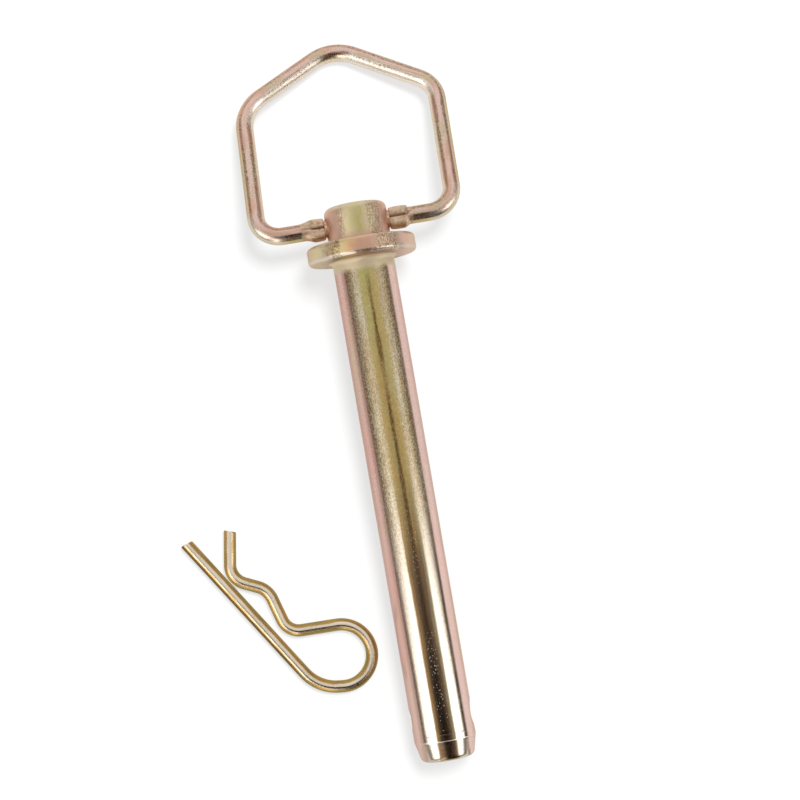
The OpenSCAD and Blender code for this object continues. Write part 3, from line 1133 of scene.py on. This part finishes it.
def make_world():
    """A tent of soft light that only the metal mirrors: pale all around, with two strips in front.

    The parts of a direction are x to the right, y to the back and z up. All else is lit evenly.
    """
    world = bpy.data.worlds.new("light_tent")
    bpy.context.scene.world = world
    world.cycles.sampling_method = "NONE"
    f = Finish(world)
    path = f.node("ShaderNodeLightPath")
    seen, mirrored = path[0], path[3]
    x, y, z = f.parts(f.node("ShaderNodeTexCoord")[0])
    off_middle = abs(x + 0.03)
    back = f.ease(y, 0.30, 0.55)
    front = f.fade(y, -0.15, -0.045)
    # The dark opening in front, between the strips. Low down it is wider on the right.
    opening = f.fade(y, -0.22, 0.0, 0.30) + f.ease(x, -0.1, 0.1) * f.fade(y, -0.66, -0.5, 0.25)
    dark = f.fade(off_middle - opening, -0.08, 0.10) * f.fade(y, -0.15, -0.03)
    # One strip on each side of it, and a small panel low on the left.
    strip_from = 0.53 - f.fade(y, -0.38, -0.22) * 0.04
    strip = front * f.ease(abs(x - 0.03) - strip_from, 0.0, 0.14)
    strip = strip * f.ease(z, 0.24, 0.32) * f.ease(y, -0.65, -0.51)
    low_panel = f.fade(y, -0.72, -0.56) * f.fade(x, -0.20, -0.12) * f.ease(x, -0.5, -0.36)
    # The tent darkens to the sides, to the front and down to the horizon.
    sides = f.fade(z, 0.35, 0.72) * f.ease(off_middle, 0.30, 0.60) * f.fade(y, 0.60, 0.75)
    level = tent_level + back * 0.1 - sides * 0.45 - front * f.ease(x, -0.3, 0.3, 0.28, 0.44)
    level = level * (1 - dark * 0.95) + strip * strip_level + low_panel * low_panel_level
    horizon = f.fade(z, 0.0, 0.12) * (1 - back)
    level = level * (1 - horizon * 0.5)
    tent = f.node("ShaderNodeBackground", {}, {"Color": tent_colour, "Strength": level})[0]
    ambient = f.node("ShaderNodeBackground", {}, {"Color": white, "Strength": ambient_level})[0]
    backdrop = f.node("ShaderNodeBackground", {}, {"Color": white, "Strength": 1.0})[0]
    lit = f.node("ShaderNodeMixShader", {}, {0: mirrored, 1: ambient, 2: tent})[0]
    shown = f.node("ShaderNodeMixShader", {}, {0: seen, 1: lit, 2: backdrop})[0]
    f.node("ShaderNodeOutputWorld", {}, {"Surface": shown})


def make_key():
    """The soft lamp that throws the shadow towards the front left."""
    lamp = bpy.data.lights.new("soft_key", "AREA")
    lamp.shape = "DISK"
    lamp.size = key_size
    lamp.energy = key_watts
    key = bpy.data.objects.new("soft_key", lamp)
    bpy.context.scene.collection.objects.link(key)
    key.location = key_place
    key.rotation_euler = (-Vector(key.location)).to_track_quat("-Z", "Y").to_euler()
    key.visible_glossy = False


def make_camera():
    """The camera, almost straight above the set."""
    lens = bpy.data.cameras.new("camera")
    lens.lens = lens_length
    lens.sensor_width = sensor_width
    lens.clip_start = 0.01
    camera = bpy.data.objects.new("camera", lens)
    bpy.context.scene.collection.objects.link(camera)
    pose = Matrix.Translation(hinge * MM + Vector(camera_from_hinge))
    for axis, degrees in camera_turns:
        pose = pose @ Matrix.Rotation(math.radians(degrees), 4, axis)
    camera.matrix_world = pose
    bpy.context.scene.camera = camera


make_floor()
make_world()
make_key()
make_camera()
bpy.context.scene.view_settings.view_transform = "Standard"
